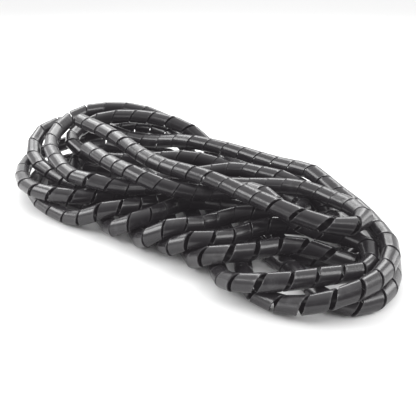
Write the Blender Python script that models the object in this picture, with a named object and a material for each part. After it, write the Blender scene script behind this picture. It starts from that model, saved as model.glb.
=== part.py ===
"""Spiral cable wrap: one long slit plastic spiral, lying as a loose folded hank.

The wrap is one piece. It is modelled here as the tube that its turns lie on, along the
whole length of the hank, from one cut end to the other.
Metres, +Z up. The origin is under the middle of the hank, on the surface that it lies on.
"""

import bpy
import numpy as np

NAME = "spiral_wrap"
MM = 0.001

# Driving dimensions.
WRAP_DIAMETER = 10 * MM  # outside of the turns
STRAND_GAP = 0.7 * MM  # least space between two strands that lie against each other
TUBE_SIDES = 8
RING_SPACING = 10 * MM
WRAP_COLOUR = (0.012, 0.012, 0.014, 1.0)
WRAP_ROUGHNESS = 0.28

# How the hank settles: strands are pushed apart, held near their places and let down a little.
EASE_STEP = 5 * MM
EASE_ROUNDS = 320
FREE_ROUNDS = 80
HOLD = 0.02
SINK = 0.02 * MM
STIFFNESS = 0.3
PUSH = 1.5
NEIGHBOUR_REACH = 5 * MM
PAIR_ROUNDS = 20

# The hank's route, in millimetres: points chosen by hand on the middle of the wrap, one
# stretch for each side of a lap. Left is -X, and the front of the hank is -Y.
ROUTE = [
    # First end, over the top to the right.
    (-128, 31, 41), (-111, 26, 41), (-81, 15, 41), (-54, 3, 39), (-33, -3, 38), (-11, -6, 37),
    (9, -6, 37), (35, -10, 35), (62, -12, 32), (75, -11, 30), (86, -8, 29), (93, -1, 28),
    (95, 8, 27), (92, 17, 26),
    # Back across the middle and round the left, on top.
    (84, 24, 26), (71, 29, 26), (57, 31, 26), (45, 31, 26), (33, 32, 26), (20, 29, 25),
    (8, 17, 25), (-8, 2, 25), (-23, -8, 26), (-37, -15, 26), (-50, -19, 25), (-62, -24, 25),
    (-78, -26, 24), (-98, -17, 25), (-117, -8, 26), (-133, 5, 29), (-142, 17, 31),
    (-147, 32, 34), (-149, 49, 36), (-145, 65, 37), (-131, 79, 38), (-112, 86, 36),
    # Along the back, down to the surface, and round the right.
    (-94, 90, 29), (-76, 92, 22), (-58, 93, 15), (-40, 92, 9), (-20, 89, 6), (2, 84, 6),
    (30, 73, 8), (60, 58, 7), (86, 37, 5), (104, 20, 5), (113, 7, 5), (119, -7, 5),
    (119, -22, 5), (116, -36, 5), (108, -46, 5),
    # Under the middle to the back, and up.
    (99, -44, 5), (89, -36, 5), (79, -29, 5), (68, -24, 5), (56, -19, 5), (44, -9, 5),
    (30, 5, 5), (15, 19, 5), (2, 34, 5), (-10, 48, 6), (-24, 61, 10), (-40, 71, 18),
    (-54, 76, 27),
    # Upper back of the left loop and its inside.
    (-66, 75, 33), (-80, 75, 36), (-98, 74, 37), (-113, 68, 37), (-127, 61, 36),
    (-137, 52, 33), (-140, 41, 29), (-136, 30, 27), (-128, 23, 22), (-117, 18, 20),
    (-104, 19, 20),
    # Across to the back of the right loop, and a short turn inside it.
    (-90, 26, 21), (-72, 37, 21), (-49, 49, 21), (-32, 56, 20), (-13, 59, 18), (6, 56, 14),
    (26, 50, 11), (43, 40, 14), (53, 26, 15), (50, 14, 17), (41, 7, 18),
    # Down to the front edge, then round the left on the surface.
    (32, 3, 20), (24, -3, 19), (17, -11, 18), (13, -20, 17), (11, -30, 17), (8, -39, 17),
    (2, -46, 15), (-7, -47, 11), (-16, -43, 7), (-25, -36, 5), (-34, -29, 5), (-44, -21, 5),
    (-58, -12, 5), (-76, -8, 5), (-94, -8, 5), (-107, -4, 6), (-117, 5, 9), (-123, 17, 13),
    (-128, 30, 16), (-129, 45, 15), (-122, 61, 11),
    # Under the middle to the front.
    (-106, 73, 10), (-90, 76, 11), (-76, 74, 10), (-62, 67, 6), (-48, 57, 5), (-34, 46, 5),
    (-16, 26, 5), (2, 8, 5),
    (22, -10, 5), (40, -27, 5), (53, -45, 5),
    # Front of the right loop and round its end.
    (62, -57, 5), (73, -60, 5), (84, -59, 7), (95, -58, 10), (104, -55, 12), (110, -49, 13),
    (114, -43, 14), (117, -34, 15), (118, -23, 15), (115, -11, 16), (110, 0, 17),
    (104, 10, 19), (96, 18, 22), (86, 26, 25),
    # The back rim.
    (73, 37, 25), (58, 45, 26), (41, 53, 27), (25, 58, 28), (8, 62, 28), (-8, 64, 28),
    (-26, 67, 28), (-43, 68, 28), (-61, 69, 27), (-81, 68, 24), (-101, 64, 22),
    (-118, 62, 23), (-137, 62, 26), (-152, 56, 29),
    # Down the left end and under the top strands.
    (-161, 44, 31), (-161, 28, 29), (-158, 15, 26), (-151, 5, 22), (-142, -3, 19),
    (-129, -8, 17), (-114, -12, 15), (-98, -14, 14), (-80, -12, 14), (-62, 2, 16),
    (-42, 20, 18), (-20, 38, 19),
    # Back and inside of the right loop.
    (0, 46, 19), (20, 47, 21), (38, 48, 19), (54, 44, 13), (69, 35, 7), (81, 25, 6),
    (88, 16, 7), (90, 7, 6), (86, -2, 6), (78, -7, 6), (68, -8, 6), (57, -6, 8),
    # Along the front to the left, and a small loop there.
    (47, -1, 12), (37, 3, 16), (26, 5, 18), (14, 5, 19), (1, 6, 19), (-10, 5, 18),
    (-16, -4, 17), (-18, -16, 16), (-20, -28, 16), (-24, -39, 14), (-34, -44, 10),
    (-45, -38, 6), (-56, -31, 5), (-69, -25, 5), (-86, -22, 5), (-102, -20, 5), (-114, -14, 5),
    (-123, -5, 5), (-128, 8, 5), (-127, 21, 5), (-118, 31, 5),
    (-103, 35, 5), (-82, 30, 5), (-62, 15, 5), (-44, -3, 5), (-28, -21, 5), (-14, -32, 5),
    # Up under the top strand and round inside the right loop.
    (0, -40, 6), (12, -44, 10), (24, -44, 14), (32, -35, 15), (35, -23, 16), (40, -11, 16),
    (49, -1, 17), (59, 2, 17), (68, 7, 17), (75, 14, 17), (76, 23, 16), (69, 31, 13),
    # Back across to the front of the left loop.
    (58, 35, 9), (46, 37, 5), (32, 38, 6), (14, 38, 8), (-4, 28, 13), (-18, 12, 15),
    (-27, -2, 16), (-34, -18, 16), (-40, -31, 16), (-50, -39, 12), (-62, -41, 8), (-74, -40, 5),
    (-88, -38, 5), (-101, -36, 5), (-112, -31, 5),
    # Round the left end on the surface, and under the middle.
    (-123, -24, 5), (-134, -13, 5), (-143, 1, 5), (-149, 18, 5), (-147, 36, 5),
    (-133, 49, 5), (-112, 53, 5), (-86, 45, 5), (-60, 32, 5), (-42, 14, 5), (-26, -6, 5),
    (-12, -22, 5), (2, -33, 5),
    # Front of the right loop, inner strand.
    (14, -42, 5), (27, -48, 9), (40, -50, 15), (48, -44, 16), (54, -34, 16), (60, -24, 16),
    (66, -16, 15), (73, -9, 12), (80, -5, 9), (88, -3, 6), (96, 1, 5), (100, 10, 5), (97, 20, 5),
    (86, 30, 5), (68, 43, 6),
    # Across to the front of the left loop, second strand.
    (46, 52, 6), (22, 53, 8), (0, 46, 13), (-22, 32, 16), (-42, 12, 16), (-56, -8, 15),
    (-69, -24, 14), (-80, -33, 14), (-92, -37, 14), (-106, -37, 14), (-120, -32, 14),
    (-134, -22, 14), (-147, -8, 14),
    # Round the left end and under the middle.
    (-157, 8, 14), (-162, 24, 13), (-159, 43, 14), (-149, 61, 18), (-130, 75, 23),
    (-108, 81, 26), (-88, 81, 27), (-73, 77, 22), (-62, 70, 17), (-54, 60, 16),
    (-47, 48, 13), (-39, 34, 7), (-24, 14, 5), (-6, -4, 5), (10, -22, 5), (24, -38, 5),
    # Front of the right loop, middle strand.
    (36, -50, 6), (50, -59, 10), (62, -64, 13), (73, -62, 15), (83, -53, 15), (92, -42, 15),
    (98, -33, 15), (105, -23, 15), (108, -13, 14), (107, -4, 13),
    # Back over the top to the second end.
    (101, 3, 15), (93, 5, 17), (85, 1, 18), (78, -3, 20), (70, -6, 22), (61, -7, 23),
    (47, -3, 27), (29, 3, 27),
    (15, 5, 28), (4, 0, 28), (-2, -8, 29), (-11, -14, 30), (-21, -17, 31), (-34, -18, 32),
    (-48, -17, 34), (-64, -12, 35), (-79, -7, 36), (-94, -1, 36),
]


def lengths(steps):
    return np.sqrt((steps**2).sum(axis=1))


def smooth_route(points, step):
    """Points one step apart on a smooth curve through the chosen points."""
    ends = np.vstack([2 * points[0] - points[1], points, 2 * points[-1] - points[-2]])
    share = np.linspace(0, 1, 40, endpoint=False)[:, None]
    pieces = []
    for before, start, end, after in zip(ends, ends[1:], ends[2:], ends[3:]):
        knots = lengths(np.array([start - before, end - start, after - end])) ** 0.5
        leave = (start - before) / knots[0] - (end - before) / (knots[0] + knots[1])
        arrive = (end - start) / knots[1] - (after - start) / (knots[1] + knots[2])
        leave = (leave + (end - start) / knots[1]) * knots[1]
        arrive = (arrive + (after - end) / knots[2]) * knots[1]
        pieces.append(
            (2 * share**3 - 3 * share**2 + 1) * start
            + (share**3 - 2 * share**2 + share) * leave
            + (3 * share**2 - 2 * share**3) * end
            + (share**3 - share**2) * arrive
        )
    dense = np.vstack(pieces + [points[-1:]])
    along = np.concatenate([[0], np.cumsum(lengths(np.diff(dense, axis=0)))])
    places = np.linspace(0, along[-1], int(round(along[-1] / step)) + 1)
    return np.stack([np.interp(places, along, dense[:, axis]) for axis in range(3)], axis=1)


def near_pairs(route, reach, apart):
    """Pairs of points closer than reach that are not next to each other along the wrap."""
    firsts, seconds = [], []
    for first in range(len(route) - apart):
        away = lengths(route[first + apart :] - route[first])
        found = np.nonzero(away < reach)[0]
        firsts.append(np.full(len(found), first))
        seconds.append(found + first + apart)
    return np.concatenate(firsts), np.concatenate(seconds)


def pushed_apart(route, firsts, seconds, least):
    """The move that takes each pair of touching strands apart."""
    gap = route[seconds] - route[firsts]
    away = np.maximum(lengths(gap), 1e-6)
    short = np.maximum(least - away, 0) / 2
    move = gap * (short / away)[:, None]
    touching = (short > 0).astype(float)
    count = np.bincount(firsts, touching, len(route)) + np.bincount(seconds, touching, len(route))
    total = np.stack(
        [
            np.bincount(seconds, move[:, axis], len(route))
            - np.bincount(firsts, move[:, axis], len(route))
            for axis in range(3)
        ],
        axis=1,
    )
    return total / np.maximum(count, 1)[:, None] * PUSH


def settled_route():
    """The middle line of the wrap as the hank lies, centred over the origin."""
    route = smooth_route(np.array(ROUTE, dtype=float) * MM, EASE_STEP)
    home = route.copy()
    floor = WRAP_DIAMETER / 2
    least = WRAP_DIAMETER + STRAND_GAP
    apart = int(np.ceil(2.2 * WRAP_DIAMETER / EASE_STEP))
    for turn in range(EASE_ROUNDS + FREE_ROUNDS):
        if turn % PAIR_ROUNDS == 0:
            firsts, seconds = near_pairs(route, least + NEIGHBOUR_REACH, apart)
        if turn < EASE_ROUNDS:
            route = route + (home - route) * HOLD
            route[:, 2] -= SINK
        bend = np.zeros_like(route)
        bend[1:-1] = (route[:-2] + route[2:]) / 2 - route[1:-1]
        even = bend.copy()
        even[1:-1] -= (bend[:-2] + bend[2:]) / 2
        route = route + even * STIFFNESS
        for _ in range(2):
            route = route + pushed_apart(route, firsts, seconds, least)
            step = np.diff(route, axis=0)
            size = lengths(step)
            stretch = step * ((size - EASE_STEP) / size / 4)[:, None]
            route[:-1] += stretch
            route[1:] -= stretch
            route[:, 2] = np.maximum(route[:, 2], floor)
    middle = (route.min(axis=0) + route.max(axis=0)) / 2
    return route - np.array([middle[0], middle[1], 0])


def clear_scene():
    for obj in list(bpy.data.objects):
        bpy.data.objects.remove(obj, do_unlink=True)


def wrap_material():
    material = bpy.data.materials.new("black_plastic")
    material.use_nodes = True
    shader = material.node_tree.nodes["Principled BSDF"]
    shader.inputs["Base Color"].default_value = WRAP_COLOUR
    shader.inputs["Roughness"].default_value = WRAP_ROUGHNESS
    shader.inputs["Metallic"].default_value = 0
    return material


def wrap_tube(route, collection):
    """The wrap as one round tube, each ring turned so that one of its sides faces down."""
    curve = bpy.data.curves.new(NAME, "CURVE")
    curve.dimensions = "3D"
    curve.twist_mode = "Z_UP"
    curve.bevel_depth = WRAP_DIAMETER / 2
    curve.bevel_resolution = TUBE_SIDES // 2 - 2
    curve.use_fill_caps = True
    every = max(1, int(round(RING_SPACING / EASE_STEP)))
    rings = np.vstack([route[:-1:every], route[-1:]])
    spline = curve.splines.new("POLY")
    spline.points.add(len(rings) - 1)
    # A side, not an edge, rests on the surface, so the rings sit lower by the difference.
    lower = WRAP_DIAMETER / 2 * (1 - np.cos(np.pi / TUBE_SIDES))
    for point, place in zip(spline.points, rings):
        point.co = (place[0], place[1], place[2] - lower, 1)
        point.tilt = np.pi / TUBE_SIDES
    curve.materials.append(wrap_material())
    tube = bpy.data.objects.new(NAME, curve)
    collection.objects.link(tube)
    return tube


def main():
    clear_scene()
    collection = bpy.data.collections.new("spiral_cable_wrap")
    bpy.context.scene.collection.children.link(collection)
    wrap_tube(settled_route(), collection)


main()
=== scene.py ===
"""Spiral cable wrap: the dressed model of one long slit plastic spiral in a loose folded hank.

The band is one helix of flat plastic strip, made by Geometry Nodes along the same route
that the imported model's tube follows, on a pale floor in a soft light tent.
Metres, +Z up.
"""

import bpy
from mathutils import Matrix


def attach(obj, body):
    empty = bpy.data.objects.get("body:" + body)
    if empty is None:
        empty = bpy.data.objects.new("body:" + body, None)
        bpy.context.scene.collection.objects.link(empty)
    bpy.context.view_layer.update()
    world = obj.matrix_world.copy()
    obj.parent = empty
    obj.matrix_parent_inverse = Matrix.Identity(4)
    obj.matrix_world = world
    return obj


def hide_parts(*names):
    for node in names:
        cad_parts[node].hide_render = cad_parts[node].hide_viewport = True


bl_info = {
    "name": "Spiral cable wrap",
    "version": (1, 0, 0),
    "blender": (4, 5, 0),
    "location": "3D View > Sidebar > Cable wrap",
    "description": "Builds a folded hank of spiral cable wrap and the light tent around it",
    "category": "Object",
}

import bpy
import numpy as np
from mathutils import Matrix, Vector

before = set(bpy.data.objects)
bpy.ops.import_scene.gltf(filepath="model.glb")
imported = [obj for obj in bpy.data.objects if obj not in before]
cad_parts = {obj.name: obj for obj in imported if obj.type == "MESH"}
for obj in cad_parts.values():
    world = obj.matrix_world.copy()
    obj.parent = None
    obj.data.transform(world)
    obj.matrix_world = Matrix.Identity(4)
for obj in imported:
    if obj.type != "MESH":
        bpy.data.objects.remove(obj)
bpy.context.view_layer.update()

MM = 0.001
WRAP = "spiral_wrap_band"

# The band's own sizes.
WRAP_DIAMETER = 10 * MM  # outside of the turns
WALL = 1.0 * MM
BAND_WIDTH = 12 * MM
END_TURN = 16 * MM  # how far one turn reaches along the wrap at its two cut ends
STIFFNESS_ACROSS = 0.45  # the share of each turn that stays straight in a bend

# How the hank settles: strands are pushed apart, held near their places and let down a little.
STRAND_GAP = 0.7 * MM  # least space between two strands that lie against each other
CURVE_SAMPLES = 40  # between two chosen points, before the route is divided evenly
EASE_STEP = 5 * MM  # between two points of the route
EASE_ROUNDS = 320  # held near its place
FREE_ROUNDS = 80  # let go, so that bends come out smooth
HOLD = 0.02  # share of the way back to its place in each round
SINK = 0.02 * MM  # in each round
STIFFNESS = 0.3  # how evenly the bends are spread out
PUSHES = 2  # in each round
PUSH = 1.5  # share of an overlap that one push takes away
NEIGHBOUR_REACH = 5 * MM  # how much further apart strands are still watched
OWN_DIAMETERS = 2.2  # nearer than this along the wrap, two points don't push each other
PAIR_ROUNDS = 20  # between two looks for strands that are near

# The hank's route, in millimetres: points chosen on the middle of the wrap, one
# stretch for each side of a lap. Left is -X, and the front of the hank is -Y.
ROUTE = [
    # First end, over the top to the right.
    (-128, 31, 41), (-111, 26, 41), (-81, 15, 41), (-54, 3, 39), (-33, -3, 38), (-11, -6, 37),
    (9, -6, 37), (35, -10, 35), (62, -12, 32), (75, -11, 30), (86, -8, 29), (93, -1, 28),
    (95, 8, 27), (92, 17, 26),
    # Back across the middle and round the left, on top.
    (84, 24, 26), (71, 29, 26), (57, 31, 26), (45, 31, 26), (33, 32, 26), (20, 29, 25),
    (8, 17, 25), (-8, 2, 25), (-23, -8, 26), (-37, -15, 26), (-50, -19, 25), (-62, -24, 25),
    (-78, -26, 24), (-98, -17, 25), (-117, -8, 26), (-133, 5, 29), (-142, 17, 31),
    (-147, 32, 34), (-149, 49, 36), (-145, 65, 37), (-131, 79, 38), (-112, 86, 36),
    # Along the back, down to the surface, and round the right.
    (-94, 90, 29), (-76, 92, 22), (-58, 93, 15), (-40, 92, 9), (-20, 89, 6), (2, 84, 6),
    (30, 73, 8), (60, 58, 7), (86, 37, 5), (104, 20, 5), (113, 7, 5), (119, -7, 5),
    (119, -22, 5), (116, -36, 5), (108, -46, 5),
    # Under the middle to the back, and up.
    (99, -44, 5), (89, -36, 5), (79, -29, 5), (68, -24, 5), (56, -19, 5), (44, -9, 5),
    (30, 5, 5), (15, 19, 5), (2, 34, 5), (-10, 48, 6), (-24, 61, 10), (-40, 71, 18),
    (-54, 76, 27),
    # Upper back of the left loop and its inside.
    (-66, 75, 33), (-80, 75, 36), (-98, 74, 37), (-113, 68, 37), (-127, 61, 36),
    (-137, 52, 33), (-140, 41, 29), (-136, 30, 27), (-128, 23, 22), (-117, 18, 20),
    (-104, 19, 20),
    # Across to the back of the right loop, and a short turn inside it.
    (-90, 26, 21), (-72, 37, 21), (-49, 49, 21), (-32, 56, 20), (-13, 59, 18), (6, 56, 14),
    (26, 50, 11), (43, 40, 14), (53, 26, 15), (50, 14, 17), (41, 7, 18),
    # Down to the front edge, then round the left on the surface.
    (32, 3, 20), (24, -3, 19), (17, -11, 18), (13, -20, 17), (11, -30, 17), (8, -39, 17),
    (2, -46, 15), (-7, -47, 11), (-16, -43, 7), (-25, -36, 5), (-34, -29, 5), (-44, -21, 5),
    (-58, -12, 5), (-76, -8, 5), (-94, -8, 5), (-107, -4, 6), (-117, 5, 9), (-123, 17, 13),
    (-128, 30, 16), (-129, 45, 15), (-122, 61, 11),
    # Under the middle to the front.
    (-106, 73, 10), (-90, 76, 11), (-76, 74, 10), (-62, 67, 6), (-48, 57, 5), (-34, 46, 5),
    (-16, 26, 5), (2, 8, 5),
    (22, -10, 5), (40, -27, 5), (53, -45, 5),
    # Front of the right loop and round its end.
    (62, -57, 5), (73, -60, 5), (84, -59, 7), (95, -58, 10), (104, -55, 12), (110, -49, 13),
    (114, -43, 14), (117, -34, 15), (118, -23, 15), (115, -11, 16), (110, 0, 17),
    (104, 10, 19), (96, 18, 22), (86, 26, 25),
    # The back rim.
    (73, 37, 25), (58, 45, 26), (41, 53, 27), (25, 58, 28), (8, 62, 28), (-8, 64, 28),
    (-26, 67, 28), (-43, 68, 28), (-61, 69, 27), (-81, 68, 24), (-101, 64, 22),
    (-118, 62, 23), (-137, 62, 26), (-152, 56, 29),
    # Down the left end and under the top strands.
    (-161, 44, 31), (-161, 28, 29), (-158, 15, 26), (-151, 5, 22), (-142, -3, 19),
    (-129, -8, 17), (-114, -12, 15), (-98, -14, 14), (-80, -12, 14), (-62, 2, 16),
    (-42, 20, 18), (-20, 38, 19),
    # Back and inside of the right loop.
    (0, 46, 19), (20, 47, 21), (38, 48, 19), (54, 44, 13), (69, 35, 7), (81, 25, 6),
    (88, 16, 7), (90, 7, 6), (86, -2, 6), (78, -7, 6), (68, -8, 6), (57, -6, 8),
    # Along the front to the left, and a small loop there.
    (47, -1, 12), (37, 3, 16), (26, 5, 18), (14, 5, 19), (1, 6, 19), (-10, 5, 18),
    (-16, -4, 17), (-18, -16, 16), (-20, -28, 16), (-24, -39, 14), (-34, -44, 10),
    (-45, -38, 6), (-56, -31, 5), (-69, -25, 5), (-86, -22, 5), (-102, -20, 5), (-114, -14, 5),
    (-123, -5, 5), (-128, 8, 5), (-127, 21, 5), (-118, 31, 5),
    (-103, 35, 5), (-82, 30, 5), (-62, 15, 5), (-44, -3, 5), (-28, -21, 5), (-14, -32, 5),
    # Up under the top strand and round inside the right loop.
    (0, -40, 6), (12, -44, 10), (24, -44, 14), (32, -35, 15), (35, -23, 16), (40, -11, 16),
    (49, -1, 17), (59, 2, 17), (68, 7, 17), (75, 14, 17), (76, 23, 16), (69, 31, 13),
    # Back across to the front of the left loop.
    (58, 35, 9), (46, 37, 5), (32, 38, 6), (14, 38, 8), (-4, 28, 13), (-18, 12, 15),
    (-27, -2, 16), (-34, -18, 16), (-40, -31, 16), (-50, -39, 12), (-62, -41, 8), (-74, -40, 5),
    (-88, -38, 5), (-101, -36, 5), (-112, -31, 5),
    # Round the left end on the surface, and under the middle.
    (-123, -24, 5), (-134, -13, 5), (-143, 1, 5), (-149, 18, 5), (-147, 36, 5),
    (-133, 49, 5), (-112, 53, 5), (-86, 45, 5), (-60, 32, 5), (-42, 14, 5), (-26, -6, 5),
    (-12, -22, 5), (2, -33, 5),
    # Front of the right loop, inner strand.
    (14, -42, 5), (27, -48, 9), (40, -50, 15), (48, -44, 16), (54, -34, 16), (60, -24, 16),
    (66, -16, 15), (73, -9, 12), (80, -5, 9), (88, -3, 6), (96, 1, 5), (100, 10, 5), (97, 20, 5),
    (86, 30, 5), (68, 43, 6),
    # Across to the front of the left loop, second strand.
    (46, 52, 6), (22, 53, 8), (0, 46, 13), (-22, 32, 16), (-42, 12, 16), (-56, -8, 15),
    (-69, -24, 14), (-80, -33, 14), (-92, -37, 14), (-106, -37, 14), (-120, -32, 14),
    (-134, -22, 14), (-147, -8, 14),
    # Round the left end and under the middle.
    (-157, 8, 14), (-162, 24, 13), (-159, 43, 14), (-149, 61, 18), (-130, 75, 23),
    (-108, 81, 26), (-88, 81, 27), (-73, 77, 22), (-62, 70, 17), (-54, 60, 16),
    (-47, 48, 13), (-39, 34, 7), (-24, 14, 5), (-6, -4, 5), (10, -22, 5), (24, -38, 5),
    # Front of the right loop, middle strand.
    (36, -50, 6), (50, -59, 10), (62, -64, 13), (73, -62, 15), (83, -53, 15), (92, -42, 15),
    (98, -33, 15), (105, -23, 15), (108, -13, 14), (107, -4, 13),
    # Back over the top to the second end.
    (101, 3, 15), (93, 5, 17), (85, 1, 18), (78, -3, 20), (70, -6, 22), (61, -7, 23),
    (47, -3, 27), (29, 3, 27),
    (15, 5, 28), (4, 0, 28), (-2, -8, 29), (-11, -14, 30), (-21, -17, 31), (-34, -18, 32),
    (-48, -17, 34), (-64, -12, 35), (-79, -7, 36), (-94, -1, 36),
]

# Millimetres along the wrap, how far one turn of the band reaches there, and the gap at
# its seam: where the wrap is squeezed the seam closes, and where it is stretched it opens.
TURNS = [
    (0, 17, 1.5), (20, 18, 1.2), (40, 17, 1), (58, 14.5, 0.6), (72, 12.4, 0.5),
    (86, 11, 0.45), (122, 10.8, 0.45), (136, 13, 0.5), (150, 11.8, 0.4), (175, 12, 0.5),
    (195, 14, 1.2), (215, 17, 2.4), (240, 13, 0.8), (280, 12, 0.5), (400, 12, 0.5),
    (425, 13, 0.9), (450, 17, 1.3), (540, 17, 1.4), (560, 16, 1.2), (600, 16, 1),
    (700, 14, 0.6), (880, 14, 1.3), (920, 13, 1), (1000, 13, 0.6), (1140, 15, 1.4),
    (1244, 15, 1.4), (1300, 14, 0.7), (1360, 12.5, 0.7), (1440, 13, 0.6), (1500, 12, 0.9),
    (1540, 11.2, 0.9), (1600, 10.8, 0.5), (1640, 12, 0.5), (1750, 13, 1), (1960, 13, 0.5),
    (2020, 13.5, 1.9), (2090, 13, 1.2), (2165, 14, 0.8), (2350, 14.4, 0.8), (2425, 17, 1),
    (2490, 16, 1.3), (2530, 12.5, 1), (2620, 12, 0.6), (2660, 13, 0.6), (2740, 13, 0.8),
    (2830, 12, 0.9), (2870, 11, 0.8), (2930, 10.8, 0.4), (2960, 13, 0.6), (3060, 13, 0.8),
    (3160, 11, 0.5), (3200, 10.8, 0.8), (3225, 11.5, 1.3), (3270, 12.5, 1.6), (3330, 13, 0.8),
    (3430, 11, 0.6), (3470, 11, 0.9), (3500, 13, 1.3), (3550, 16, 1), (3690, 14, 0.8),
    (3815, 11, 0.4), (3850, 11, 0.8), (3885, 14.5, 3.2), (3925, 14.5, 3.4), (3955, 13, 1),
    (4150, 12.8, 1.3), (4210, 14, 2.1), (4235, 17, 1.8), (4265, 17, 1.2), (4380, 14, 1.2),
    (4510, 13, 0.5), (4580, 11, 0.5), (4610, 11.5, 1), (4640, 13.5, 1.9), (4690, 13.5, 1.8),
    (4720, 12, 0.8), (4775, 10.8, 0.45), (4870, 11, 0.6), (4935, 15, 1),
]

# The turns' slight unevenness, and how close to each other the seams let them come.
WANDER = 0.04  # share of a turn's length
WANDER_SEED = 7
WANDER_POINTS = 9  # of the route, over which it changes
SEAM_SHARE = 0.975  # most of the shortest turn nearby that the band covers
SEAM_POINTS = 3  # of the route to each side that count as nearby
BEND_POINTS = 2  # of the route to each side whose tightest bend counts
INNER_LEAST, INNER_MOST = 0.05, 0.999  # keeps the inner side's share of length off 0 and 1

# The band's mesh.
EDGE_CHAMFER = 0.2 * MM
ROW_STEP = 0.62 * MM
ROUTE_RESOLUTION = 5  # points of the wound curve for each point of the route
END_POINT = -0.97  # half widths past the cut, just short of the band's sharp tip
SMOOTH_BELOW = 32  # degrees between two faces that are shaded as one

# The finish: how often its patterns change, for each metre where no other length is named.
LINES_ACROSS = 26.0  # for each width of the band
LINES_ALONG = 14.0
PATCH_SCALE = 70.0
GRAIN_SCALE = 900.0
RUBBED_FROM, RUBBED_TO = 0.56, 0.74  # of the patches' noise
RIM_POWER = 9.0  # how narrow the rim at each edge is, raised by the bump and lightened by a painted highlight
# strength of the painted highlight that lightens both edges of the band
PAINTED_RIM_HIGHLIGHT = 0.25
GRAIN_HEIGHT = 0.12  # share of the marks' depth
GLOSS_SPREAD = 0.18  # roughness that the marks add at most
MARK_DEPTH = 0.18 * MM
MARK_STRENGTH = 0.6

# The photograph's camera: degrees right of the front and up, how far it stands from the
# point that it looks at, and that point.
CAMERA_AZIMUTH = 33.0
CAMERA_ELEVATION = 24.0
CAMERA_DISTANCE = 436 * MM
CAMERA_AIM = (21.1 * MM, -14.7 * MM, 12 * MM)
FOCAL_PIXELS = 720
PICTURE_PIXELS = 416
PICTURE_OFFSET = (0, 4)  # the aim point shows this many pixels right of and below the middle
SENSOR_WIDTH = 36  # millimetres
NEAREST_SEEN = 10 * MM

# The floor and the tent. The tent dims between two cosines of the angle to the camera.
FLOOR_SIZE = 8
FLOOR_ROUGHNESS = 0.8
DIM_FROM, DIM_TO = -0.1, 0.9
GREEN_HAZE = 0.9  # share of the haze in green, a little less than in red and blue

# The light tent's soft boxes: name, degrees to the right of the camera, degrees up, width
# and height in metres, and radiance.
BOX_DISTANCE = 0.65
SOFT_BOXES = [
    ("left_box", -88, 30, 0.4, 0.26, 7.0),
    ("low_left_box", -35, 16, 0.17, 0.38, 3.2),
    ("right_front_box", 60, 38, 0.32, 0.25, 5.6),
    ("right_box", 102, 22, 0.3, 0.3, 4.3),
    ("back_box", 178, 38, 0.75, 0.17, 6.0),
    ("back_left_box", -137, 34, 0.25, 0.24, 4.5),
]


def lengths(steps):
    """The length of each step."""
    return np.sqrt((steps**2).sum(axis=1))


def smooth_route(points, step):
    """Points one step apart on a smooth curve through the chosen points."""
    ends = np.vstack([2 * points[0] - points[1], points, 2 * points[-1] - points[-2]])
    share = np.linspace(0, 1, CURVE_SAMPLES, endpoint=False)[:, None]
    pieces = []
    for before, start, end, after in zip(ends, ends[1:], ends[2:], ends[3:]):
        knots = lengths(np.array([start - before, end - start, after - end])) ** 0.5
        leave = (start - before) / knots[0] - (end - before) / (knots[0] + knots[1])
        arrive = (end - start) / knots[1] - (after - start) / (knots[1] + knots[2])
        leave = (leave + (end - start) / knots[1]) * knots[1]
        arrive = (arrive + (after - end) / knots[2]) * knots[1]
        pieces.append(
            (2 * share**3 - 3 * share**2 + 1) * start
            + (share**3 - 2 * share**2 + share) * leave
            + (3 * share**2 - 2 * share**3) * end
            + (share**3 - share**2) * arrive
        )
    dense = np.vstack(pieces + [points[-1:]])
    along = np.concatenate([[0], np.cumsum(lengths(np.diff(dense, axis=0)))])
    places = np.linspace(0, along[-1], int(round(along[-1] / step)) + 1)
    return np.stack([np.interp(places, along, dense[:, axis]) for axis in range(3)], axis=1)


def near_pairs(route, reach, apart):
    """Pairs of points closer than reach that are not next to each other along the wrap."""
    firsts, seconds = [], []
    for first in range(len(route) - apart):
        away = lengths(route[first + apart :] - route[first])
        found = np.nonzero(away < reach)[0]
        firsts.append(np.full(len(found), first))
        seconds.append(found + first + apart)
    return np.concatenate(firsts), np.concatenate(seconds)


def pushed_apart(route, firsts, seconds, least):
    """The move that takes each pair of touching strands apart."""
    gap = route[seconds] - route[firsts]
    away = np.maximum(lengths(gap), 1e-6)
    short = np.maximum(least - away, 0) / 2
    move = gap * (short / away)[:, None]
    touching = (short > 0).astype(float)
    count = np.bincount(firsts, touching, len(route)) + np.bincount(seconds, touching, len(route))
    total = np.stack(
        [
            np.bincount(seconds, move[:, axis], len(route))
            - np.bincount(firsts, move[:, axis], len(route))
            for axis in range(3)
        ],
        axis=1,
    )
    return total / np.maximum(count, 1)[:, None] * PUSH


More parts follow.
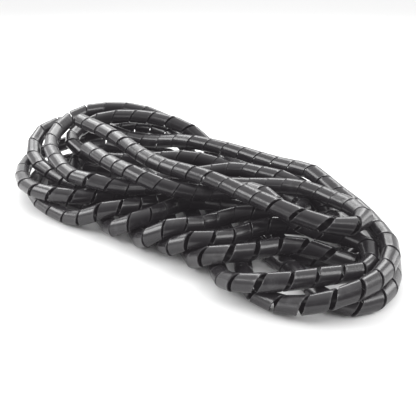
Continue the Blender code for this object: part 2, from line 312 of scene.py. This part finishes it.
def settled_route():
    """The middle line of the wrap as the hank lies, centred over the origin."""
    route = smooth_route(np.array(ROUTE, dtype=float) * MM, EASE_STEP)
    home = route.copy()
    floor = WRAP_DIAMETER / 2
    least = WRAP_DIAMETER + STRAND_GAP
    apart = int(np.ceil(OWN_DIAMETERS * WRAP_DIAMETER / EASE_STEP))
    for turn in range(EASE_ROUNDS + FREE_ROUNDS):
        if turn % PAIR_ROUNDS == 0:
            firsts, seconds = near_pairs(route, least + NEIGHBOUR_REACH, apart)
        if turn < EASE_ROUNDS:
            route = route + (home - route) * HOLD
            route[:, 2] -= SINK
        bend = np.zeros_like(route)
        bend[1:-1] = (route[:-2] + route[2:]) / 2 - route[1:-1]
        even = bend.copy()
        even[1:-1] -= (bend[:-2] + bend[2:]) / 2
        route = route + even * STIFFNESS
        for _ in range(PUSHES):
            route = route + pushed_apart(route, firsts, seconds, least)
            step = np.diff(route, axis=0)
            size = lengths(step)
            stretch = step * ((size - EASE_STEP) / size / 4)[:, None]
            route[:-1] += stretch
            route[1:] -= stretch
            route[:, 2] = np.maximum(route[:, 2], floor)
    middle = (route.min(axis=0) + route.max(axis=0)) / 2
    return route - np.array([middle[0], middle[1], 0])


def near(values, points, pick):
    """At each point of the route, the least or the greatest value up to some points away."""
    padded = np.pad(values, points, mode="edge")
    return pick(np.lib.stride_tricks.sliding_window_view(padded, 2 * points + 1), axis=1)


def turns_along(route):
    """At each point of the route: turns made so far, width covered, and how straight a turn stays.

    The last is a share of the stiffness. In a tight bend the turns give way, so that they
    don't cut into each other on its inner side.
    """
    along = np.concatenate([[0], np.cumsum(lengths(np.diff(route, axis=0)))])
    places, turn_lengths, gaps = np.array(TURNS).T * MM
    listed = np.interp(along, places, turn_lengths)
    noise = np.random.default_rng(WANDER_SEED).normal(0, 1, len(route) + WANDER_POINTS - 1)
    wander = np.convolve(noise, np.ones(WANDER_POINTS) / WANDER_POINTS, mode="valid")
    here = listed * (1 + WANDER * wander)
    steps = np.diff(along) / ((here[:-1] + here[1:]) / 2)
    turns = np.concatenate([[0], np.cumsum(steps)])
    widest = SEAM_SHARE * near(here, SEAM_POINTS, np.min)
    widths = np.minimum(listed - np.interp(along, places, gaps), widest)

    bend = np.zeros(len(route))
    bend[1:-1] = lengths(np.diff(route, 2, axis=0)) / EASE_STEP**2
    inner = 1 - near(bend, BEND_POINTS, np.max) * WRAP_DIAMETER / 2
    inner = np.clip(inner, INNER_LEAST, INNER_MOST)
    room = inner * (here - widths) / (widths * (1 - inner))
    return turns, widths, np.clip(room / STIFFNESS_ACROSS, 0, 1)


class NodeTree:
    """Places nodes in a tree and links them, one call a node."""

    def __init__(self, tree):
        self.tree = tree

    def feed(self, socket, value):
        """Links the value to the socket, or sets it where it's a plain number or vector."""
        if isinstance(value, bpy.types.NodeSocket):
            self.tree.links.new(value, socket)
        else:
            socket.default_value = value

    def add(self, kind, inputs=None, **settings):
        node = self.tree.nodes.new(kind)
        for name, value in settings.items():
            setattr(node, name, value)
        for name, value in (inputs or {}).items():
            self.feed(node.inputs[name], value)
        return node

    def math(self, operation, first, second=0.0, third=0.0):
        node = self.add("ShaderNodeMath", operation=operation)
        for socket, value in zip(node.inputs, (first, second, third)):
            self.feed(socket, value)
        return node.outputs[0]

    def vector(self, operation, first, second):
        node = self.add("ShaderNodeVectorMath", operation=operation)
        for socket, value in zip(node.inputs, (first, second)):
            self.feed(socket, value)
        return node.outputs["Vector"]

    def scaled(self, vector, factor):
        sockets = {"Vector": vector, "Scale": factor}
        return self.add("ShaderNodeVectorMath", sockets, operation="SCALE").outputs["Vector"]

    def mix(self, kind, factor, first, second):
        """Blends two vectors or two colours, and gives the socket that holds the result."""
        node = self.add("ShaderNodeMix", {"Factor": factor}, data_type=kind)
        sockets = [socket for socket in node.inputs if socket.type == kind and socket.enabled]
        self.feed(sockets[0], first)
        self.feed(sockets[1], second)
        return next(socket for socket in node.outputs if socket.type == kind)


def band_tree():
    """Geometry Nodes: a straight bar with the band's section, wound round the route.

    The bar lies along Z, its width along X and its wall along Y. A point of it at length
    z goes to the angle that the band has reached there, beside the route by its X.
    """
    tree = bpy.data.node_groups.new("wind spiral band", "GeometryNodeTree")
    face = tree.interface
    face.new_socket("Geometry", in_out="INPUT", socket_type="NodeSocketGeometry")
    for name in (
        "Outside Diameter", "Wall", "Band Width", "End Turn", "Edge Chamfer", "Row Step",
        "Stiffness Across",
    ):
        face.new_socket(name, in_out="INPUT", socket_type="NodeSocketFloat")
    face.new_socket("Material", in_out="INPUT", socket_type="NodeSocketMaterial")
    face.new_socket("Geometry", in_out="OUTPUT", socket_type="NodeSocketGeometry")
    make = NodeTree(tree)
    given = make.add("NodeGroupInput").outputs

    # The route as a smooth curve.
    chain = make.add("GeometryNodeMeshToCurve", {"Mesh": given["Geometry"]}).outputs["Curve"]
    spline = make.add("GeometryNodeCurveSplineType", {"Curve": chain}, spline_type="CATMULL_ROM")
    route = make.add(
        "GeometryNodeSetSplineResolution",
        {"Geometry": spline.outputs[0], "Resolution": ROUTE_RESOLUTION},
    ).outputs[0]
    route = make.add("GeometryNodeSetCurveNormal", {"Curve": route}, mode="Z_UP").outputs[0]
    whole = make.add("GeometryNodeCurveLength", {"Curve": route}).outputs["Length"]

    # The straight bar, a little longer than the route at both ends.
    half = make.math("MULTIPLY", given["Band Width"], 0.5)
    start = make.math("MULTIPLY", half, END_POINT)
    stop = make.math("SUBTRACT", whole, start)
    first = make.add("ShaderNodeCombineXYZ", {"Z": start}).outputs[0]
    last = make.add("ShaderNodeCombineXYZ", {"Z": stop}).outputs[0]
    line = make.add("GeometryNodeCurvePrimitiveLine", {"Start": first, "End": last}).outputs[0]
    rows = make.add(
        "GeometryNodeResampleCurve", {"Curve": line, "Length": given["Row Step"]}, mode="LENGTH"
    ).outputs[0]
    section = make.add(
        "GeometryNodeCurvePrimitiveQuadrilateral",
        {"Width": given["Band Width"], "Height": given["Wall"]},
    ).outputs[0]
    section = make.add(
        "GeometryNodeFilletCurve",
        {"Curve": section, "Radius": given["Edge Chamfer"], "Count": 1},
        mode="POLY",
    ).outputs[0]
    bar = make.add(
        "GeometryNodeCurveToMesh", {"Curve": rows, "Profile Curve": section, "Fill Caps": True}
    ).outputs["Mesh"]
    # The left-handed winding turns the bar inside out, so its faces are turned over first.
    bar = make.add("GeometryNodeFlipFaces", {"Mesh": bar}).outputs["Mesh"]

    # Where a point of the bar lies across the band, and how far from the route.
    place = make.add("GeometryNodeInputPosition").outputs[0]
    split = make.add("ShaderNodeSeparateXYZ", {"Vector": place}).outputs
    across = make.math("ADD", make.math("DIVIDE", split["X"], given["Band Width"]), 0.5)
    depth = make.math("SUBTRACT", split["Y"], make.math("MULTIPLY", given["Wall"], 0.5))
    radius = make.math("ADD", make.math("MULTIPLY", given["Outside Diameter"], 0.5), depth)

    def on_route(length, name):
        """The route at a length along it, with the value of one of its attributes there."""
        value = make.add("GeometryNodeInputNamedAttribute", {"Name": name}, data_type="FLOAT")
        return make.add(
            "GeometryNodeSampleCurve",
            {"Curves": route, "Value": value.outputs[0], "Length": length},
            mode="LENGTH",
            data_type="FLOAT",
            use_all_curves=True,
        ).outputs

    # The band is cut square at both ends, so its edges stop there.
    middle = make.math("MINIMUM", make.math("MAXIMUM", split["Z"], 0.0), whole)
    beyond = make.math("SUBTRACT", split["Z"], middle)
    covered = make.math("MULTIPLY", on_route(middle, "width")["Value"], 0.5)
    low = make.math("MAXIMUM", make.math("SUBTRACT", split["Z"], covered), 0.0)
    high = make.math("MINIMUM", make.math("ADD", split["Z"], covered), whole)
    reach = make.math("ADD", low, make.math("MULTIPLY", make.math("SUBTRACT", high, low), across))

    at_edge = on_route(reach, "turn")
    at_middle = on_route(middle, "turn")
    extra = make.math("DIVIDE", beyond, given["End Turn"])
    angle = make.math("MULTIPLY", make.math("ADD", at_middle["Value"], extra), -2 * np.pi)

    def around(sample):
        """From the route to the band, at the band's angle."""
        side = make.vector("CROSS_PRODUCT", sample["Tangent"], sample["Normal"])
        out = make.scaled(sample["Normal"], make.math("COSINE", angle))
        over = make.scaled(side, make.math("SINE", angle))
        return make.scaled(make.vector("ADD", out, over), radius)

    # A stiff band would stay straight across, and a soft one would follow the bend.
    bent = make.vector("ADD", at_edge["Position"], around(at_edge))
    ahead = make.scaled(at_middle["Tangent"], make.math("SUBTRACT", reach, middle))
    straight = make.vector("ADD", at_middle["Position"], ahead)
    straight = make.vector("ADD", straight, around(at_middle))
    straightness = make.math(
        "MULTIPLY", given["Stiffness Across"], on_route(middle, "straightness")["Value"]
    )
    wound_at = make.mix("VECTOR", straightness, bent, straight)

    marked = bar
    for name, value in (("band_along", split["Z"]), ("band_across", across)):
        marked = make.add(
            "GeometryNodeStoreNamedAttribute",
            {"Geometry": marked, "Name": name, "Value": value},
            data_type="FLOAT",
            domain="POINT",
        ).outputs[0]
    wound = make.add(
        "GeometryNodeSetPosition", {"Geometry": marked, "Position": wound_at}
    ).outputs[0]

    # Smooth shading, but with crisp corners at the band's edges.
    fold = make.add("GeometryNodeInputMeshEdgeAngle").outputs["Unsigned Angle"]
    flat = make.add(
        "FunctionNodeCompare",
        {0: fold, 1: np.radians(SMOOTH_BELOW)},
        data_type="FLOAT",
        operation="LESS_THAN",
    ).outputs[0]
    smooth = wound
    for domain, shade in (("FACE", True), ("EDGE", flat)):
        smooth = make.add(
            "GeometryNodeSetShadeSmooth",
            {"Geometry": smooth, "Shade Smooth": shade},
            domain=domain,
        ).outputs[0]
    plain = make.add("GeometryNodeRealizeInstances", {"Geometry": smooth}).outputs[0]
    coated = make.add(
        "GeometryNodeSetMaterial", {"Geometry": plain, "Material": given["Material"]}
    ).outputs[0]
    make.add("NodeGroupOutput", {"Geometry": coated})
    return tree


def set_input(modifier, name, value):
    """Sets a modifier's input by its socket's identifier."""
    for item in modifier.node_group.interface.items_tree:
        if item.item_type == "SOCKET" and item.in_out == "INPUT" and item.name == name:
            modifier[item.identifier] = value
            return
    raise RuntimeError(f"the tree has no input {name}")


def extrusion_marks():
    """A shader group: the fine marks that the die and handling leave on an extruded band, and a
    painted highlight along its two edges.
    """
    tree = bpy.data.node_groups.new("extrusion marks", "ShaderNodeTree")
    face = tree.interface
    for name in ("Across", "Along", "Scuffs", "Lines", "Rim Highlight"):
        face.new_socket(name, in_out="INPUT", socket_type="NodeSocketFloat")
    for name in ("Wear And Rim Highlight", "Gloss Change", "Height"):
        face.new_socket(name, in_out="OUTPUT", socket_type="NodeSocketFloat")
    make = NodeTree(tree)
    given = make.add("NodeGroupInput").outputs

    def noise(place, scale, detail):
        sockets = {"Vector": place, "Scale": scale, "Detail": detail}
        return make.add("ShaderNodeTexNoise", sockets).outputs[0]

    # Die lines run the length of the band, so their pattern hardly changes along it.
    across = make.math("MULTIPLY", given["Across"], LINES_ACROSS)
    along = make.math("MULTIPLY", given["Along"], LINES_ALONG)
    drawn = make.add("ShaderNodeCombineXYZ", {"X": across, "Y": along}).outputs[0]
    lines = make.math("SUBTRACT", noise(drawn, 1.0, 3.0), 0.5)
    lines = make.math("MULTIPLY", lines, given["Lines"])

    place = make.add("ShaderNodeTexCoord").outputs["Object"]
    patches = noise(place, PATCH_SCALE, 4.0)
    grain = noise(place, GRAIN_SCALE, 2.0)
    rubbed = make.add(
        "ShaderNodeMapRange",
        {"Value": patches, "From Min": RUBBED_FROM, "From Max": RUBBED_TO},
        interpolation_type="SMOOTHSTEP",
    ).outputs[0]
    rubbed = make.math("MULTIPLY", rubbed, make.math("MULTIPLY", grain, given["Scuffs"]))

    # The two cut edges stand a little proud, and a painted highlight lightens their colour.
    from_middle = make.math("ABSOLUTE", make.math("MULTIPLY_ADD", given["Across"], 2.0, -1.0))
    rim = make.math("POWER", from_middle, RIM_POWER)
    # Rubbed patches, plus the painted highlight along both edges.
    wear_and_rim_highlight = make.math("ADD", rubbed, make.math("MULTIPLY", rim, given["Rim Highlight"]))
    change = make.math("ADD", lines, rubbed)
    height = make.math("ADD", lines, rim)
    height = make.math("ADD", height, make.math("MULTIPLY", grain, GRAIN_HEIGHT))
    make.add("NodeGroupOutput", {"Wear And Rim Highlight": wear_and_rim_highlight, "Gloss Change": change, "Height": height})
    return tree


def plastic_material(settings):
    """Glossy black plastic, paler and duller where it's rubbed, and paler along the band's edges
    as a painted highlight.
    """
    material = bpy.data.materials.new("black_plastic")
    material.use_nodes = True
    make = NodeTree(material.node_tree)
    shader = material.node_tree.nodes["Principled BSDF"]
    marks = make.add(
        "ShaderNodeGroup",
        {
            "Across": make.add("ShaderNodeAttribute", attribute_name="band_across").outputs["Fac"],
            "Along": make.add("ShaderNodeAttribute", attribute_name="band_along").outputs["Fac"],
            "Scuffs": settings.scuffs,
            "Lines": settings.die_lines,
            "Rim Highlight": PAINTED_RIM_HIGHLIGHT,
        },
        node_tree=extrusion_marks(),
    ).outputs
    # Paler where rubbed, and paler along both edges as a painted highlight.
    colour = make.mix("RGBA", marks["Wear And Rim Highlight"], (*settings.colour, 1), (*settings.scuff_and_highlight_colour, 1))
    make.feed(shader.inputs["Base Color"], colour)
    rough = make.math("MULTIPLY_ADD", marks["Gloss Change"], GLOSS_SPREAD, settings.roughness)
    make.feed(shader.inputs["Roughness"], rough)
    bump = make.add(
        "ShaderNodeBump",
        {"Height": marks["Height"], "Distance": MARK_DEPTH, "Strength": MARK_STRENGTH},
    )
    make.feed(shader.inputs["Normal"], bump.outputs["Normal"])
    return material


def wound_band(settings):
    """The band as a plain mesh, and the route that it follows."""
    route = settled_route()
    mesh = bpy.data.meshes.new("wrap_route")
    edges = [(place, place + 1) for place in range(len(route) - 1)]
    mesh.from_pydata(route.tolist(), edges, [])
    for name, values in zip(("turn", "width", "straightness"), turns_along(route)):
        layer = mesh.attributes.new(name, "FLOAT", "POINT")
        layer.data.foreach_set("value", values.astype(np.float32))
    guide = bpy.data.objects.new("wrap_route", mesh)
    bpy.context.scene.collection.objects.link(guide)
    modifier = guide.modifiers.new("wind", "NODES")
    modifier.node_group = band_tree()
    inputs = {
        "Outside Diameter": settings.diameter,
        "Wall": settings.wall,
        "Band Width": settings.band_width,
        "End Turn": END_TURN,
        "Edge Chamfer": settings.edge_chamfer,
        "Row Step": settings.row_step,
        "Stiffness Across": settings.stiffness_across,
        "Material": plastic_material(settings),
    }
    for name, value in inputs.items():
        set_input(modifier, name, value)
    graph = bpy.context.evaluated_depsgraph_get()
    band_mesh = bpy.data.meshes.new_from_object(
        guide.evaluated_get(graph), preserve_all_data_layers=True, depsgraph=graph
    )
    band_mesh.name = WRAP
    band = bpy.data.objects.new(WRAP, band_mesh)
    bpy.context.scene.collection.objects.link(band)
    bpy.data.objects.remove(guide, do_unlink=True)
    return band, route


class WrapSettings(bpy.types.PropertyGroup):
    """The wrap's sizes and finish"""

    diameter: bpy.props.FloatProperty(
        name="Outside diameter", description="Outside of the turns",
        default=WRAP_DIAMETER, unit="LENGTH",
    )
    wall: bpy.props.FloatProperty(
        name="Wall", description="Thickness of the band", default=WALL, unit="LENGTH"
    )
    band_width: bpy.props.FloatProperty(
        name="Band width", description="Width of the band along the wrap",
        default=BAND_WIDTH, unit="LENGTH",
    )
    edge_chamfer: bpy.props.FloatProperty(
        name="Edge chamfer", description="Broken edge of the band",
        default=EDGE_CHAMFER, unit="LENGTH", precision=5,
    )
    row_step: bpy.props.FloatProperty(
        name="Row step", description="Length of wrap between two rows of faces",
        default=ROW_STEP, unit="LENGTH", precision=5,
    )
    stiffness_across: bpy.props.FloatProperty(
        name="Stiffness across", description="Share of each turn that stays straight in a bend",
        default=STIFFNESS_ACROSS, subtype="FACTOR", min=0, max=1,
    )
    roughness: bpy.props.FloatProperty(
        name="Roughness", description="Roughness of the plastic", default=0.2,
        subtype="FACTOR", min=0, max=1,
    )
    colour: bpy.props.FloatVectorProperty(
        name="Colour", description="Colour of the plastic", default=(0.0175, 0.0162, 0.018),
        subtype="COLOR", size=3, min=0, max=1,
    )
    # Colour of rubbed places, and of the painted highlight along the band's edges.
    scuff_and_highlight_colour: bpy.props.FloatVectorProperty(
        name="Scuff and highlight colour", description="Colour of rubbed places and edges",
        default=(0.09, 0.088, 0.092), subtype="COLOR", size=3, min=0, max=1,
    )
    scuffs: bpy.props.FloatProperty(
        name="Scuffs", description="Strength of the rubbed places", default=0.6, min=0, max=1
    )
    die_lines: bpy.props.FloatProperty(
        name="Die lines", description="Depth of the fine lines along the band", default=0.5,
        min=0, max=1,
    )


class StageSettings(bpy.types.PropertyGroup):
    """The floor and the light tent"""

    floor_colour: bpy.props.FloatVectorProperty(
        name="Floor", description="Colour of the floor", default=(0.86, 0.86, 0.86),
        subtype="COLOR", size=3, min=0, max=1,
    )
    surround: bpy.props.FloatProperty(
        name="Surround", description="Brightness of the light tent", default=1.3, min=0
    )
    haze: bpy.props.FloatProperty(
        name="Haze", description="Stray light in the lens, which lifts the blacks",
        default=0.012, min=0,
    )
    front_surround: bpy.props.FloatProperty(
        name="Front surround", description="Brightness of the tent behind the camera",
        default=0.16, min=0,
    )


class OBJECT_OT_add_spiral_wrap(bpy.types.Operator):
    """Add the wound band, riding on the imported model"""

    bl_idname = "object.add_spiral_wrap"
    bl_label = "Spiral wrap band"

    def execute(self, context):
        settings = context.scene.spiral_wrap
        band, route = wound_band(settings)
        if len(band.data.polygons) == 0:
            raise RuntimeError("the band has no faces")
        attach(band, "root")
        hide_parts("spiral_wrap")
        return {"FINISHED"}


def direction(azimuth, elevation):
    """The way to a place so many degrees right of the hank's front, and so many up."""
    azimuth, elevation = np.radians(azimuth), np.radians(elevation)
    level = np.cos(elevation)
    return Vector((np.sin(azimuth) * level, -np.cos(azimuth) * level, np.sin(elevation)))


def soft_box(name, turn, rise, width, height, brightness):
    """A large area light on one side of the tent, as bright as the given radiance."""
    away = direction(CAMERA_AZIMUTH + turn, rise)
    data = bpy.data.lights.new(name, "AREA")
    data.shape = "RECTANGLE"
    data.size, data.size_y = width, height
    data.energy = brightness * np.pi * width * height
    light = bpy.data.objects.new(name, data)
    light.location = away * BOX_DISTANCE
    light.rotation_euler = away.to_track_quat("Z", "Y").to_euler()
    bpy.context.scene.collection.objects.link(light)


def place_camera(scene):
    """Stands the camera where the photograph was taken from."""
    data = bpy.data.cameras.new("photo_camera")
    data.sensor_width = SENSOR_WIDTH
    data.lens = SENSOR_WIDTH * FOCAL_PIXELS / PICTURE_PIXELS
    data.clip_start = NEAREST_SEEN
    back = direction(CAMERA_AZIMUTH, CAMERA_ELEVATION)
    right = direction(CAMERA_AZIMUTH + 90, 0)
    up = back.cross(right)
    per_pixel = CAMERA_DISTANCE / FOCAL_PIXELS
    eye = Vector(CAMERA_AIM) + back * CAMERA_DISTANCE
    eye -= right * PICTURE_OFFSET[0] * per_pixel
    eye += up * PICTURE_OFFSET[1] * per_pixel
    camera = bpy.data.objects.new("photo_camera", data)
    turn = Matrix((right, up, back)).transposed()
    camera.matrix_world = Matrix.Translation(eye) @ turn.to_4x4()
    scene.collection.objects.link(camera)
    scene.camera = camera


def light_world(scene, settings):
    """A pale tent all round, darker behind the camera."""
    world = bpy.data.worlds.new("light_tent")
    world.use_nodes = True
    make = NodeTree(world.node_tree)
    way = make.add("ShaderNodeTexCoord").outputs["Generated"]
    towards_camera = make.add(
        "ShaderNodeVectorMath", {0: way, 1: direction(CAMERA_AZIMUTH, 0)}, operation="DOT_PRODUCT"
    ).outputs["Value"]
    shade = make.add(
        "ShaderNodeMapRange",
        {
            "Value": towards_camera,
            "From Min": DIM_FROM,
            "From Max": DIM_TO,
            "To Min": settings.surround,
            "To Max": settings.front_surround,
        },
        interpolation_type="SMOOTHSTEP",
    ).outputs[0]
    background = world.node_tree.nodes["Background"]
    make.feed(background.inputs["Color"], (1, 1, 1, 1))
    make.feed(background.inputs["Strength"], shade)
    scene.world = world


def lift_blacks(scene, haze):
    """Shows black as slightly grey, as a lens does against a bright white floor."""
    scene.view_settings.use_curve_mapping = True
    curves = scene.view_settings.curve_mapping
    curves.black_level = (-haze, -haze * GREEN_HAZE, -haze)
    curves.update()


class OBJECT_OT_add_wrap_stage(bpy.types.Operator):
    """Add the pale floor, the soft light and the photograph's camera"""

    bl_idname = "object.add_wrap_stage"
    bl_label = "Stage"

    def execute(self, context):
        scene = context.scene
        settings = scene.wrap_stage
        bpy.ops.mesh.primitive_plane_add(size=FLOOR_SIZE, location=(0, 0, 0))
        floor = context.object
        floor.name = "floor"
        material = bpy.data.materials.new("floor_paper")
        material.use_nodes = True
        shader = material.node_tree.nodes["Principled BSDF"]
        shader.inputs["Base Color"].default_value = (*settings.floor_colour, 1)
        shader.inputs["Roughness"].default_value = FLOOR_ROUGHNESS
        floor.data.materials.append(material)
        for box in SOFT_BOXES:
            soft_box(*box)
        light_world(scene, settings)
        place_camera(scene)
        scene.view_settings.view_transform = "Standard"
        lift_blacks(scene, settings.haze)
        return {"FINISHED"}


class VIEW3D_PT_spiral_wrap(bpy.types.Panel):
    """Lists the wrap's settings, the stage's and their operators"""

    bl_idname = "VIEW3D_PT_spiral_wrap"
    bl_label = "Spiral cable wrap"
    bl_space_type = "VIEW_3D"
    bl_region_type = "UI"
    bl_category = "Cable wrap"

    def draw(self, context):
        layout = self.layout
        for holder in (context.scene.spiral_wrap, context.scene.wrap_stage):
            for name in holder.bl_rna.properties.keys():
                if name not in ("rna_type", "name"):
                    layout.prop(holder, name)
        layout.operator("object.add_spiral_wrap")
        layout.operator("object.add_wrap_stage")


CLASSES = (
    WrapSettings,
    StageSettings,
    OBJECT_OT_add_spiral_wrap,
    OBJECT_OT_add_wrap_stage,
    VIEW3D_PT_spiral_wrap,
)


def register():
    for each in CLASSES:
        bpy.utils.register_class(each)
    bpy.types.Scene.spiral_wrap = bpy.props.PointerProperty(type=WrapSettings)
    bpy.types.Scene.wrap_stage = bpy.props.PointerProperty(type=StageSettings)


def unregister():
    del bpy.types.Scene.wrap_stage
    del bpy.types.Scene.spiral_wrap
    for each in reversed(CLASSES):
        bpy.utils.unregister_class(each)


def main():
    register()
    bpy.ops.object.add_spiral_wrap()
    bpy.ops.object.add_wrap_stage()


if __name__ == "__main__":
    main()
